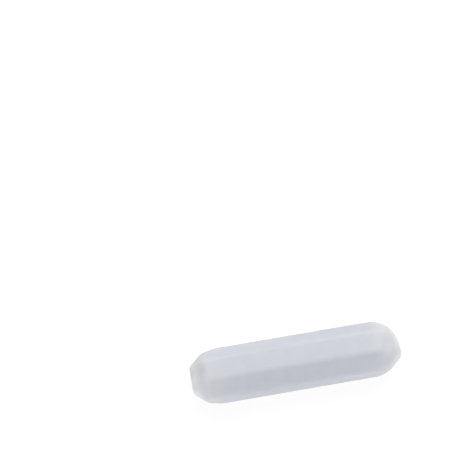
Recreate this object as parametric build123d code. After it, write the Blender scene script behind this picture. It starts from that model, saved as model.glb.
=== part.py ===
from build123d import *
import math
import os

# Octagonal magnetic stir bar: a rod magnet sealed in a one-piece moulded fluoropolymer jacket.
# The bar lies along X and rests on one of its eight facets at Z = 0, with its middle over the origin.
# All sizes are in millimetres.

# The jacket's body, an eight-sided bar with rounded ridges
bar_length = 38.1
across_flats = 9.5
facet_count = 8
ridge_radius = 1.3

# The left end, at -X: a flat face, a cone and a soft shoulder
left_face_radius = 2.6
left_cone_length = 3.35
left_nose_radius = 0.5
left_shoulder_radius = 7.4

# The right end, at +X: its face came out of the mould askew, furthest out on the -Y side
right_face_radius = 2.1
right_face_tilt = math.radians(11)
right_cone_length = 3.45
right_nose_radius = 0.5
right_shoulder_radius = 6.2

# How far the round form that shapes the ends stands clear of the ridges along the body, and how far
# the straight bar runs on past each end before that form cuts it to length
end_form_margin = 0.05
cutting_allowance = 1.0

# The magnet, and the space that the jacket was moulded with around it
magnet_diameter = 6.0
magnet_length = 28.0
magnet_edge = 0.4
moulding_clearance = 0.03

axis_height = across_flats / 2
half_length = bar_length / 2
half_facet_angle = math.pi / facet_count
ridge_reach = (across_flats / 2 - ridge_radius) / math.cos(half_facet_angle) + ridge_radius
end_form_radius = ridge_reach + end_form_margin
right_cone_slope = math.atan((end_form_radius - right_face_radius) / right_cone_length)

# The right tip's rounding ends at half the bar's length, so its sharp corner lies further out by this
lean = math.tan(right_face_tilt)
rounding_depth = (1 / math.cos(right_face_tilt) + lean / math.cos(right_cone_slope)) / (
    1 + lean * math.tan(right_cone_slope)
)
right_corner = half_length + right_nose_radius * (rounding_depth - 1)


def eight_sided_bar():
    """The straight bar, over length: a regular octagon with rounded corners, two flats level."""
    turn = math.degrees(half_facet_angle)
    octagon = RegularPolygon(across_flats / 2, facet_count, major_radius=False, rotation=turn)
    section = fillet(octagon.vertices(), ridge_radius)
    return extrude(Plane.YZ * section, amount=half_length + cutting_allowance, both=True)


def rounded_at(outline, corner, radius):
    """The flat outline with one of its corners, the one nearest the given point, rounded."""
    nearest = outline.vertices().sort_by_distance(corner)[0]
    return fillet(nearest, radius)


def end_form():
    """The round form that both ends are cut to: turned about X, with the right face cut askew."""
    left_face = Vector(-half_length, 0, left_face_radius)
    left_shoulder = Vector(-half_length + left_cone_length, 0, end_form_radius)
    right_shoulder = Vector(right_corner - right_cone_length, 0, end_form_radius)
    right_apex = Vector(right_corner + right_face_radius / math.tan(right_cone_slope), 0, 0)
    outline = make_face(
        Polyline(
            Vector(-half_length, 0, 0),
            left_face,
            left_shoulder,
            right_shoulder,
            right_apex,
            close=True,
        )
    )
    outline = rounded_at(outline, left_face, left_nose_radius)
    outline = rounded_at(outline, left_shoulder, left_shoulder_radius)
    outline = rounded_at(outline, right_shoulder, right_shoulder_radius)
    askew = Plane(origin=(right_corner, -right_face_radius, 0), z_dir=(1, lean, 0))
    form = split(revolve(outline, Axis.X), askew, keep=Keep.BOTTOM)
    right_face = form.faces().sort_by(Axis.X)[-1]
    return fillet(right_face.edges(), right_nose_radius)


def rod(diameter, length, edge):
    """A round rod along X with both of its end edges chamfered."""
    plain = Rot(Y=90) * Cylinder(diameter / 2, length)
    return chamfer(plain.edges().filter_by(GeomType.CIRCLE), edge)


def raised(shape):
    """The shape lifted from its own axis to the height at which the bar lies."""
    return Pos(Z=axis_height) * shape


# The cavity follows the magnet at the clearance, across its chamfered edges too
cavity = rod(
    magnet_diameter + 2 * moulding_clearance,
    magnet_length + 2 * moulding_clearance,
    magnet_edge + moulding_clearance * (2 - math.sqrt(2)),
)
jacket = raised((eight_sided_bar() & end_form()) - cavity)
magnet = raised(rod(magnet_diameter, magnet_length, magnet_edge))

os.makedirs("parts", exist_ok=True)
export_step(jacket, "parts/ptfe_jacket.step")
export_step(magnet, "parts/magnet_rod.step")
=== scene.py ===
import math

import bpy
import numpy as np
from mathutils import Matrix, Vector


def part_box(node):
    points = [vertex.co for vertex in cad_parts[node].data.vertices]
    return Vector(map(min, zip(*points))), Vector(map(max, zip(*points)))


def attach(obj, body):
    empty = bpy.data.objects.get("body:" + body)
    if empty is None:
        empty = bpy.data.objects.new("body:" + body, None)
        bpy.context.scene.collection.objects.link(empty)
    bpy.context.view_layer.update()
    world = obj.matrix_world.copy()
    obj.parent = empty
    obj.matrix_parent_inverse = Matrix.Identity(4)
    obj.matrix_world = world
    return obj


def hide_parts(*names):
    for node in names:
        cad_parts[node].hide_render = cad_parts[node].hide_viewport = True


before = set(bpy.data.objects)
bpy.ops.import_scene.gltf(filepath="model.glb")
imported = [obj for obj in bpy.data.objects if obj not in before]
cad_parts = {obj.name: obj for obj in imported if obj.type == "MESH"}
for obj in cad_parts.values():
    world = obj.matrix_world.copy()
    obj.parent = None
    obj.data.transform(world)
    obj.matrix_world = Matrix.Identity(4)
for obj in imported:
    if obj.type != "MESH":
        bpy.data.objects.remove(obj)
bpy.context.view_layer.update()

# The stir bar: a white moulded jacket with eight facets and two coned ends, over a sealed rod
# magnet. It lies along X on one facet at Z = 0. Lengths are in metres, and MM turns a size in
# millimetres into them.
MM = 0.001
jacket_low, jacket_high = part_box("ptfe_jacket")
magnet_low, magnet_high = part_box("magnet_rod")

# The straight body, its length and its width across flats taken from the frame
HALF_LENGTH = (jacket_high.x - jacket_low.x) / 2
FLAT_REACH = (jacket_high.z - jacket_low.z) / 2
AXIS_HEIGHT = (jacket_high.z + jacket_low.z) / 2
FACETS = 8
RIDGE_RADIUS = 1.3 * MM
HALF_FACET = math.pi / FACETS
RIDGE_CENTRE = (FLAT_REACH - RIDGE_RADIUS) / math.cos(HALF_FACET)
RIDGE_REACH = RIDGE_CENTRE + RIDGE_RADIUS

# The round form that the ends are cut to, just clear of the ridges, how softly the facets run into
# it, and how much of them it keeps: 0 leaves the ends quite round, 1 keeps the whole octagon
FORM_RADIUS = RIDGE_REACH + 0.05 * MM
FACET_BLEND = 0.15 * MM
FACET_TRACE = 0.75

# The ends: a face, a cone, a bend, a slight taper and a soft shoulder into the body. The right face
# is askew and furthest out on the -Y side, and its wide bend runs straight from cone to body.
LEFT_END = {
    "side": -1,
    "face_radius": 2.5 * MM,
    "cone_slope": math.radians(39.5),
    "bend_radius": 2.6 * MM,
    "taper_slope": math.radians(10),
    "taper_length": 1.6 * MM,
    "shoulder_radius": 8.0 * MM,
    "rim_blend": 0.5 * MM,
    "tilt": 0.0,
}
RIGHT_END = {
    "side": 1,
    "face_radius": 2.2 * MM,
    "cone_slope": math.radians(40.8),
    "bend_radius": 5.8 * MM,
    "taper_slope": 0.0,
    "taper_length": 0.0,
    "shoulder_radius": 0.0,
    "rim_blend": 0.55 * MM,
    "tilt": math.radians(11),
}

# How finely the surface is divided
COLUMNS = 240
FACE_ROWS = 14
RIM_ROWS = 18
CONE_ROWS = 22
BEND_ROWS = 24
SHOULDER_ROWS = 16
BODY_ROWS = 110

# The moulding's unevenness, always inwards, so that the bar stays within its own size: the dish of
# the faces, and shallow waves, each with its turn per millimetre of length, its number of waves
# round the bar and where it starts
FACE_DISH = 0.06 * MM
WAVE_DEPTH = 0.022 * MM
WAVES = [(0.61, 2, 0.4), (0.37, -3, 2.1), (1.13, 5, 4.4)]

# The jacket's colour clear of the magnet and over it. The border lies between these distances
# outwards from the magnet's ends, and clouds pull it inwards by up to this much, in millimetres.
PLAIN_COLOUR = (0.752, 0.760, 0.788, 1)
TINTED_COLOUR = (0.694, 0.714, 0.774, 1)
TINT_BORDER = (-1.2, 5.0)
TINT_PULL = 1.6

# Factors of the colour in clouds, rubbed lines and specks, and of the painted light that whitens
# the faces between these distances outwards from the bar's ends, in millimetres
CLOUD_SHADE = 0.972
RUBBED_SHADE = 0.968
SPECK_SHADE = 0.85
FACE_PAINTED_LIGHT = 1.22
PAINTED_LIGHT_BORDER = (-1.9, 0.3)

# Where most of a noise's values lie, and where those that make a rubbed line do. The rubbed lines
# are noise drawn out along the bar, and the magnet's grinding rings noise drawn out round it.
NOISE_RANGE = (0.3, 0.7)
RUBBED_RANGE = (0.58, 0.74)
RUBBED_STRETCH = (0.35, 2.6, 2.6)
RING_STRETCH = (6.0, 0.4, 0.4)

# Faint marks on the ends: real specks and smudges, painted shade on the ends' tops and front-top
# sides, and painted light on their lower front sides. Middle and reach in millimetres, and how
# much they darken, less than 0 where they are paler
SMUDGES_AND_PAINTED_SHADING = [
    # Painted shade on the left end's top and front-top
    ((-17.8, 0.4, 8.1), 3.3, 0.055),
    ((-16.2, -2.8, 7.3), 1.9, 0.035),
    # Painted light on the left end's lower front
    ((-18.3, -3.1, 5.4), 2.5, -0.10),
    # Real specks on the left end
    ((-18.2, 0.9, 8.2), 0.4, 0.08),
    ((-17.4, 0.8, 8.7), 0.4, 0.08),
    # Painted shade on the right end's top
    ((16.9, 1.0, 8.4), 3.2, 0.025),
    # Real faint smudges on the top near the right end
    ((16.4, -0.2, 9.0), 1.1, 0.02),
    ((12.7, 0.3, 9.5), 0.9, 0.02),
    # Painted shade on the right end's front-top
    ((16.0, -3.1, 7.2), 2.0, 0.06),
    # Painted light on the right end's lower front
    ((17.4, -3.3, 5.5), 2.9, -0.13),
]

# The jacket's surface: its roughness at the smoothest and the dullest, what rubbed lines add to it,
# the depth of its pores, and how far the lines sink beside them
SMOOTHEST = 0.35
DULLEST = 0.47
RUBBED_DULLNESS = 0.12
PORE_DEPTH = 0.006 * MM
RUBBED_SINK = 0.6

# How light enters the jacket: how strongly it bends, how much of it is scattered inside, how deep
# red, green and blue go beside each other, and the depth clear of the magnet and over it
FLUOROPOLYMER_IOR = 1.38
TRANSLUCENCY = 0.9
COLOUR_DEPTHS = (1.0, 1.0, 1.1)
CLEAR_DEPTH = 4.5 * MM
MAGNET_DEPTH = 2.4 * MM

# The magnet's grain, from dark and dull to pale and smoother, and the depth of its grinding rings
DARK_GRAIN = (0.2, 0.205, 0.22, 1)
PALE_GRAIN = (0.36, 0.365, 0.39, 1)
DULL_GRAIN = 0.55
SMOOTH_GRAIN = 0.4
GRINDING_DEPTH = 0.01 * MM

# The table: half its side, the matt grey that gives light back to the bar, and what is seen of it,
# a faint matt that takes the shadow under an even white
TABLE_REACH = 0.3
TABLE_GREY = (0.9, 0.9, 0.9, 1)
SHADOW_GREY = (0.1, 0.1, 0.1, 1)
WHITE = (1, 1, 1, 1)
TABLE_WHITENESS = 0.945

# The even light that the surroundings give to the bar, where 1 is white
SURROUNDING_LIGHT = 0.064

# The lamps, all at one distance from the bar: name, azimuth from +X towards +Y and height in
# degrees, width and height in metres, and power in watts
LAMP_DISTANCE = 0.7
LAMPS = [
    ("overhead_softbox", 65, 63, 0.5, 0.5, 3.5),
    ("rear_right_softbox", 60, 40, 0.5, 0.5, 0.39),
    ("rear_left_softbox", 115, 55, 0.5, 0.5, 0.85),
    ("front_reflector", -112, 5, 0.8, 0.12, 1.81),
    ("left_reflector", -150, 5, 0.5, 0.14, 0.53),
    ("right_reflector", -35, 5, 0.5, 0.14, 1.0),
]

# The camera and its image, 470 pixels square, with the middle of the bar at this pixel
IMAGE_SIZE = 470
BAR_PIXEL = (295.68, 362.67)
PIXELS_PER_METRE = 5550
CAMERA_AZIMUTH = math.radians(-10.34)
CAMERA_ELEVATION = math.radians(66.5)
CAMERA_DISTANCE = 0.3
SENSOR_WIDTH = 36.0
NEAREST_SEEN = 0.01


def soft_min(a, b, reach):
    """The lesser of a and b, rounded off by a parabola where they differ by less than reach."""
    overlap = np.maximum(reach - np.abs(a - b), 0) / reach
    return np.minimum(a, b) - overlap**2 * reach / 4


def octagon_reach(turn):
    """Distance from the axis to the rounded octagon: the flat's distance over the cosine of the
    angle from its middle, and past the flat's end the far side of the ridge's circle."""
    from_middle = np.abs((turn + HALF_FACET) % (2 * HALF_FACET) - HALF_FACET)
    flat_end = math.atan((FLAT_REACH - RIDGE_RADIUS) * math.tan(HALF_FACET) / FLAT_REACH)
    flat = FLAT_REACH / np.cos(from_middle)
    from_ridge = HALF_FACET - from_middle
    sideways = RIDGE_CENTRE * np.sin(from_ridge)
    outwards = np.sqrt(np.maximum(RIDGE_RADIUS**2 - sideways**2, 0))
    return np.where(from_middle < flat_end, flat, RIDGE_CENTRE * np.cos(from_ridge) + outwards)


def end_profile(end):
    """Distance inwards from the end and radius of the turned form, from the axis to the end of the
    shoulder: a straight line from the cone's apex, an arc from the cone's slope to the taper's, the
    straight taper, and an arc from its slope to the body."""
    cone, taper = end["cone_slope"], end["taper_slope"]
    bend, shoulder = end["bend_radius"], end["shoulder_radius"]
    turned = np.linspace(0, taper, SHOULDER_ROWS)[::-1] if taper else np.zeros(1)
    shoulder_radius = FORM_RADIUS - shoulder * (1 - np.cos(turned))
    taper_end = shoulder_radius[0] - end["taper_length"] * math.sin(taper)
    turned_bend = np.linspace(cone, taper, BEND_ROWS, endpoint=False)
    bend_radius = taper_end - bend * (math.cos(taper) - np.cos(turned_bend))
    rim_inner = end["face_radius"] - end["rim_blend"]
    rim_outer = end["face_radius"] + end["rim_blend"]
    line_radius = np.concatenate(
        [
            np.linspace(0, rim_inner, FACE_ROWS, endpoint=False)[1:],
            np.linspace(rim_inner, rim_outer, RIM_ROWS, endpoint=False),
            np.linspace(rim_outer, bend_radius[0], CONE_ROWS, endpoint=False),
        ]
    )
    line_inwards = (line_radius - end["face_radius"]) / math.tan(cone)
    bend_inwards = (bend_radius[0] - end["face_radius"]) / math.tan(cone)
    bend_inwards = bend_inwards + bend * (math.sin(cone) - np.sin(turned_bend))
    taper_start = bend_inwards[-1] + bend * (np.sin(turned_bend[-1]) - math.sin(taper))
    shoulder_start = taper_start + end["taper_length"] * math.cos(taper)
    shoulder_inwards = shoulder_start + shoulder * (math.sin(taper) - np.sin(turned))
    inwards = np.concatenate([line_inwards, bend_inwards, shoulder_inwards])
    return inwards, np.concatenate([line_radius, bend_radius, shoulder_radius])


def rim_overhang(end):
    """How far the sharp corner of face and cone lies outside the rounded rim's furthest point: the
    leaning face's fall from the corner to there, and the depth of the rounding's parabola there."""
    lean = math.tan(end["tilt"])
    fall = lean + 1 / math.tan(end["cone_slope"])
    share = 2 * lean / fall
    return end["rim_blend"] * (lean * (1 - share) / fall + share**2 / 4)


def unevenness(x, turn):
    """Depth of the moulding's shallow waves: long sines over the length and round the bar, added
    up and moved so that they never rise above the surface."""
    along = x / MM
    waves = sum(np.sin(per_mm * along + around * turn + start) for per_mm, around, start in WAVES)
    return WAVE_DEPTH * (len(WAVES) + waves) / (2 * len(WAVES))


def form_points(inwards, radius, end):
    """Points of the bar for rows of the turned form, in the direction of one end. The radius is the
    lesser of the octagon and the turned form, which keeps a trace of the facets. The face's plane,
    dished in its middle, cuts it off."""
    turn = np.linspace(0, 2 * np.pi, COLUMNS, endpoint=False)[None, :]
    inwards, radius = inwards[:, None], radius[:, None]
    lean = math.tan(end["tilt"])
    overhang = rim_overhang(end)
    octagon = octagon_reach(turn)
    faceted = radius * (1 - FACET_TRACE * (1 - octagon / RIDGE_REACH))
    reach = soft_min(faceted, octagon, FACET_BLEND)
    outwards = HALF_LENGTH + overhang - inwards + 0 * turn
    from_middle = np.minimum(reach / end["face_radius"], 1)
    dish = FACE_DISH * (1 - from_middle**2) ** 2
    face = HALF_LENGTH + overhang - lean * (reach * np.cos(turn) + end["face_radius"]) - dish
    outwards = soft_min(outwards, face, end["rim_blend"])
    x = end["side"] * outwards
    sunk = reach - unevenness(x, turn) * np.minimum(reach / FLAT_REACH, 1)
    return np.stack([x, sunk * np.cos(turn), AXIS_HEIGHT + sunk * np.sin(turn)], -1)


def face_middle(end):
    """The point where the axis leaves the end face."""
    lean = math.tan(end["tilt"])
    outwards = HALF_LENGTH + rim_overhang(end) - lean * end["face_radius"] - FACE_DISH
    return np.array([end["side"] * outwards, 0.0, AXIS_HEIGHT])


def closed_rings(rings, first_pole, last_pole):
    """Points and faces of a closed surface: quads between each ring and the next, and a fan of
    triangles from each pole to the ring beside it."""
    rows, columns = rings.shape[:2]
    here = 1 + np.arange(rows * columns).reshape(rows, columns)
    beside = np.roll(here, -1, axis=1)
    quads = np.stack([here[:-1], beside[:-1], beside[1:], here[1:]], -1).reshape(-1, 4)
    first_fan = np.stack([np.zeros_like(here[0]), beside[0], here[0]], -1)
    last_fan = np.stack([np.full_like(here[0], rows * columns + 1), here[-1], beside[-1]], -1)
    points = np.concatenate([first_pole[None], rings.reshape(-1, 3), last_pole[None]])
    return points, quads.tolist() + first_fan.tolist() + last_fan.tolist()


def smooth_mesh(name, points, faces):
    """A smoothly shaded mesh object, its place in its mesh."""
    mesh = bpy.data.meshes.new(name)
    mesh.from_pydata(points, [], faces)
    mesh.polygons.foreach_set("use_smooth", np.ones(len(mesh.polygons), bool))
    mesh.validate()
    piece = bpy.data.objects.new(name, mesh)
    bpy.context.scene.collection.objects.link(piece)
    return piece


def moulded_jacket():
    """The jacket's outside: the left end's rows, the straight body's rows, then the right end's."""
    left_in, left_radius = end_profile(LEFT_END)
    right_in, right_radius = end_profile(RIGHT_END)
    right_tip = HALF_LENGTH + rim_overhang(RIGHT_END)
    left_body, right_body = left_in[-1] - HALF_LENGTH, right_tip - right_in[-1]
    stations = np.linspace(left_body, right_body, BODY_ROWS + 2)[1:-1]
    left = form_points(left_in, left_radius, LEFT_END)
    body = form_points(right_tip - stations, np.full(BODY_ROWS, FORM_RADIUS), RIGHT_END)
    right = form_points(right_in, right_radius, RIGHT_END)[::-1]
    rings = np.concatenate([left, body, right])
    points, faces = closed_rings(rings, face_middle(LEFT_END), face_middle(RIGHT_END))
    return smooth_mesh("moulded_jacket", points, faces)


class Nodes:
    """The nodes of a material or of the world, made and linked in few words."""

    def __init__(self, owner):
        owner.use_nodes = True
        self.nodes = owner.node_tree.nodes
        self.links = owner.node_tree.links

    def add(self, kind, values=None, **settings):
        """A node of that kind, with values for its sockets and settings for itself."""
        node = self.nodes.new(kind)
        for name, value in settings.items():
            setattr(node, name, value)
        for name, value in (values or {}).items():
            self.join(value, node.inputs[name])
        return node

    def join(self, value, socket):
        """Links an output to the socket, or sets the socket to a plain value."""
        if isinstance(value, bpy.types.NodeSocket):
            self.links.new(value, socket)
        else:
            socket.default_value = value

    def stretched(self, place, scale):
        """The place, scaled along each axis."""
        return self.add("ShaderNodeMapping", {"Vector": place, "Scale": scale}).outputs["Vector"]

    def millimetres(self):
        """Object coordinates in millimetres."""
        place = self.add("ShaderNodeTexCoord").outputs["Object"]
        return self.stretched(place, (1 / MM, 1 / MM, 1 / MM))

    def ramp(self, value, low, high, to_low=0.0, to_high=1.0, smooth=True):
        """The value's range from low to high, carried over to another and held at its ends."""
        values = {
            "Value": value,
            "From Min": low,
            "From Max": high,
            "To Min": to_low,
            "To Max": to_high,
        }
        kind = "SMOOTHSTEP" if smooth else "LINEAR"
        return self.add("ShaderNodeMapRange", values, interpolation_type=kind).outputs["Result"]

    def math(self, operation, a, b=0.0):
        """One step of arithmetic with one or two numbers."""
        return self.add("ShaderNodeMath", {0: a, 1: b}, operation=operation).outputs[0]

    def mix(self, share, a, b, blend="MIX"):
        """Colour a turning into b, or blended with it, by the share. The node's colours are its
        sockets 6 and 7, and its output 2."""
        values = {"Factor": share, 6: a, 7: b}
        return self.add("ShaderNodeMix", values, data_type="RGBA", blend_type=blend).outputs[2]

    def shaded(self, shade, share, factor):
        """The shade, times the factor where the share is 1."""
        return self.math("MULTIPLY", shade, self.ramp(share, 0.0, 1.0, 1.0, factor))

    def noise(self, place, scale, detail, roughness=0.55):
        """Cloudy noise from 0 to 1, scale being its features per millimetre."""
        values = {"Vector": place, "Scale": scale, "Detail": detail, "Roughness": roughness}
        return self.add("ShaderNodeTexNoise", values).outputs["Fac"]

    def near(self, place, point, reach):
        """1 at a point, falling softly to 0 at its reach."""
        node = self.add("ShaderNodeVectorMath", {0: place, 1: point}, operation="DISTANCE")
        return self.ramp(node.outputs["Value"], 0.0, reach, 1.0, 0.0)

    def specks(self, place, scale, radius, share):
        """1 in small round specks, one in a share of the cells of a random pattern."""
        cells = self.add("ShaderNodeTexVoronoi", {"Vector": place, "Scale": scale})
        edge = radius * scale
        speck = self.ramp(cells.outputs["Distance"], edge / 2, edge, 1.0, 0.0)
        drawn = self.add("ShaderNodeSeparateColor", {"Color": cells.outputs["Color"]})
        return self.math("MULTIPLY", speck, self.math("LESS_THAN", drawn.outputs["Red"], share))

    def bump(self, height, depth):
        """A bumped normal, depth being the height's full range in metres."""
        return self.add("ShaderNodeBump", {"Height": height, "Distance": depth}).outputs["Normal"]


def waxy_fluoropolymer():
    """White moulded fluoropolymer: waxy and softly translucent, grey-blue over the magnet."""
    material = bpy.data.materials.new("waxy_fluoropolymer")
    shader = Nodes(material)
    surface = shader.nodes["Principled BSDF"]
    place = shader.millimetres()

    # The tint over the magnet, by the distance along the bar from its middle
    magnet_middle = (magnet_high.x + magnet_low.x) / 2 / MM
    magnet_end = (magnet_high.x - magnet_low.x) / 2 / MM
    along = shader.add("ShaderNodeSeparateXYZ", {"Vector": place}).outputs["X"]
    from_middle = shader.math("ABSOLUTE", shader.math("SUBTRACT", along, magnet_middle))
    pull = shader.math("MULTIPLY", shader.noise(place, scale=0.25, detail=2.0), TINT_PULL)
    pulled = shader.math("ADD", from_middle, pull)
    starts, ends = TINT_BORDER
    over_magnet = shader.ramp(pulled, magnet_end + starts, magnet_end + ends, 1.0, 0.0)
    colour = shader.mix(over_magnet, PLAIN_COLOUR, TINTED_COLOUR)

    # Paler and greyer clouds, fine rubbed lines and specks, painted light whitening the faces, and
    # on the ends real smudges with painted shade and painted light
    clouds = shader.noise(place, scale=0.42, detail=4.0)
    shade = shader.ramp(clouds, *NOISE_RANGE, CLOUD_SHADE, 1.0)
    bar_end = HALF_LENGTH / MM
    starts, ends = PAINTED_LIGHT_BORDER
    # Painted light: the colour whitens towards the end faces
    painted_end_light = shader.ramp(from_middle, bar_end + starts, bar_end + ends, 1.0, FACE_PAINTED_LIGHT)
    shade = shader.math("MULTIPLY", shade, painted_end_light)
    drawn_out = shader.stretched(place, RUBBED_STRETCH)
    lines = shader.noise(drawn_out, scale=1.1, detail=6.0, roughness=0.6)
    rubbed = shader.ramp(lines, *RUBBED_RANGE)
    shade = shader.shaded(shade, rubbed, RUBBED_SHADE)
    specks = shader.specks(place, scale=0.8, radius=0.12, share=0.35)
    shade = shader.shaded(shade, specks, SPECK_SHADE)
    # Real smudges and specks, with painted shade and painted light on the ends
    for point, reach, darkening in SMUDGES_AND_PAINTED_SHADING:
        shade = shader.shaded(shade, shader.near(place, point, reach), 1 - darkening)
    grey = shader.add("ShaderNodeCombineColor", {0: shade, 1: shade, 2: shade}).outputs[0]
    colour = shader.mix(1.0, colour, grey, "MULTIPLY")
    shader.join(colour, surface.inputs["Base Color"])

    # Satin gloss, duller in the rubbed lines, which sink beside the pores
    sheen = shader.noise(place, scale=1.4, detail=5.0)
    satin = shader.ramp(sheen, 0.25, 0.75, SMOOTHEST, DULLEST)
    satin = shader.math("ADD", satin, shader.math("MULTIPLY", rubbed, RUBBED_DULLNESS))
    shader.join(satin, surface.inputs["Roughness"])
    pores = shader.noise(place, scale=6.0, detail=4.0)
    relief = shader.math("ADD", pores, shader.math("MULTIPLY", rubbed, -RUBBED_SINK))
    shader.join(shader.bump(relief, PORE_DEPTH), surface.inputs["Normal"])

    # Light enters the jacket, and goes less deep over the magnet
    surface.inputs["IOR"].default_value = FLUOROPOLYMER_IOR
    surface.subsurface_method = "RANDOM_WALK"
    surface.inputs["Subsurface Weight"].default_value = TRANSLUCENCY
    surface.inputs["Subsurface Radius"].default_value = COLOUR_DEPTHS
    depth = shader.ramp(over_magnet, 0.0, 1.0, CLEAR_DEPTH, MAGNET_DEPTH, smooth=False)
    shader.join(depth, surface.inputs["Subsurface Scale"])
    return material


def cast_magnet_alloy():
    """Bare grey cast alloy, ground round: fine grain with a dull metal gloss."""
    material = bpy.data.materials.new("cast_magnet_alloy")
    shader = Nodes(material)
    surface = shader.nodes["Principled BSDF"]
    place = shader.millimetres()
    grain = shader.noise(place, scale=5.0, detail=6.0)
    colour = shader.mix(shader.ramp(grain, *NOISE_RANGE), DARK_GRAIN, PALE_GRAIN)
    shader.join(colour, surface.inputs["Base Color"])
    roughness = shader.ramp(grain, *NOISE_RANGE, DULL_GRAIN, SMOOTH_GRAIN)
    shader.join(roughness, surface.inputs["Roughness"])
    rings = shader.noise(shader.stretched(place, RING_STRETCH), scale=3.0, detail=3.0)
    shader.join(shader.bump(rings, GRINDING_DEPTH), surface.inputs["Normal"])
    surface.inputs["Metallic"].default_value = 1.0
    return material


def seen_rays(shader):
    """1 for rays from the camera, a reflection or something clear, 0 for rays that carry light."""
    path = shader.add("ShaderNodeLightPath").outputs
    mirrored = shader.math("MAXIMUM", path["Is Glossy Ray"], path["Is Transmission Ray"])
    return shader.math("MAXIMUM", path["Is Camera Ray"], mirrored)


def pale_table():
    """A pale matt table. Where it is seen, an even white lies over a fainter matt, so that it keeps
    the bar's shadow, but lights the bar no more than the matt table does."""
    out = TABLE_REACH
    corners = [(-out, -out, 0), (out, -out, 0), (out, out, 0), (-out, out, 0)]
    table = smooth_mesh("pale_table", np.array(corners, float), [[0, 1, 2, 3]])
    material = bpy.data.materials.new("pale_matt_table")
    shader = Nodes(material)
    shader.nodes.remove(shader.nodes["Principled BSDF"])
    matt = shader.add("ShaderNodeBsdfDiffuse", {"Color": TABLE_GREY}).outputs[0]
    faint = shader.add("ShaderNodeBsdfDiffuse", {"Color": SHADOW_GREY}).outputs[0]
    glow = {"Color": WHITE, "Strength": TABLE_WHITENESS}
    white = shader.add("ShaderNodeEmission", glow).outputs[0]
    seen = shader.add("ShaderNodeAddShader", {0: faint, 1: white}).outputs[0]
    either = shader.add("ShaderNodeMixShader", {0: seen_rays(shader), 1: matt, 2: seen})
    shader.join(either.outputs[0], shader.nodes["Material Output"].inputs["Surface"])
    table.data.materials.append(material)


def white_surroundings():
    """A world that is white where it is seen, and lights the bar at an even low level."""
    world = bpy.data.worlds.new("white_surroundings")
    bpy.context.scene.world = world
    shader = Nodes(world)
    backdrop = shader.nodes["Background"]
    backdrop.inputs["Color"].default_value = WHITE
    strength = shader.ramp(seen_rays(shader), 0.0, 1.0, SURROUNDING_LIGHT, 1.0, smooth=False)
    shader.join(strength, backdrop.inputs["Strength"])


def softbox(name, azimuth, elevation, width, height, power):
    """A lamp facing the bar, its width level, its direction given by two angles in degrees."""
    turn, rise = math.radians(azimuth), math.radians(elevation)
    level = math.cos(rise)
    towards = Vector((math.cos(turn) * level, math.sin(turn) * level, math.sin(rise)))
    lamp = bpy.data.lights.new(name, "AREA")
    lamp.shape = "RECTANGLE"
    lamp.size, lamp.size_y = width, height
    lamp.energy = power
    placed = bpy.data.objects.new(name, lamp)
    placed.location = Vector((0, 0, AXIS_HEIGHT)) + LAMP_DISTANCE * towards
    placed.rotation_euler = towards.to_track_quat("Z", "Y").to_euler()
    placed.visible_camera = False
    bpy.context.scene.collection.objects.link(placed)


def camera():
    """A camera at its distance from the bar's middle, moved sideways so that the middle falls on
    its pixel, and with the lens that gives the scale there."""
    turn, rise = CAMERA_AZIMUTH, CAMERA_ELEVATION
    level = math.cos(rise)
    back = Vector((math.sin(turn) * level, -math.cos(turn) * level, math.sin(rise)))
    right = Vector((math.cos(turn), math.sin(turn), 0))
    up = back.cross(right)
    off_right = (BAR_PIXEL[0] - IMAGE_SIZE / 2) / PIXELS_PER_METRE
    off_up = (IMAGE_SIZE / 2 - BAR_PIXEL[1]) / PIXELS_PER_METRE
    middle = Vector((0, 0, AXIS_HEIGHT))
    lens = bpy.data.cameras.new("camera")
    lens.sensor_width = SENSOR_WIDTH
    lens.lens = SENSOR_WIDTH * PIXELS_PER_METRE * CAMERA_DISTANCE / IMAGE_SIZE
    lens.clip_start = NEAREST_SEEN
    eye = bpy.data.objects.new("camera", lens)
    eye.location = middle + back * CAMERA_DISTANCE - right * off_right - up * off_up
    eye.rotation_mode = "QUATERNION"
    eye.rotation_quaternion = (-back).to_track_quat("-Z", "Y")
    bpy.context.scene.collection.objects.link(eye)
    bpy.context.scene.camera = eye


jacket = moulded_jacket()
jacket.data.materials.append(waxy_fluoropolymer())
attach(jacket, "root")
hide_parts("ptfe_jacket")

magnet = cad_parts["magnet_rod"]
magnet.data.materials.clear()
magnet.data.materials.append(cast_magnet_alloy())

pale_table()
white_surroundings()
for lamp in LAMPS:
    softbox(*lamp)
camera()
bpy.context.scene.view_settings.view_transform = "Standard"
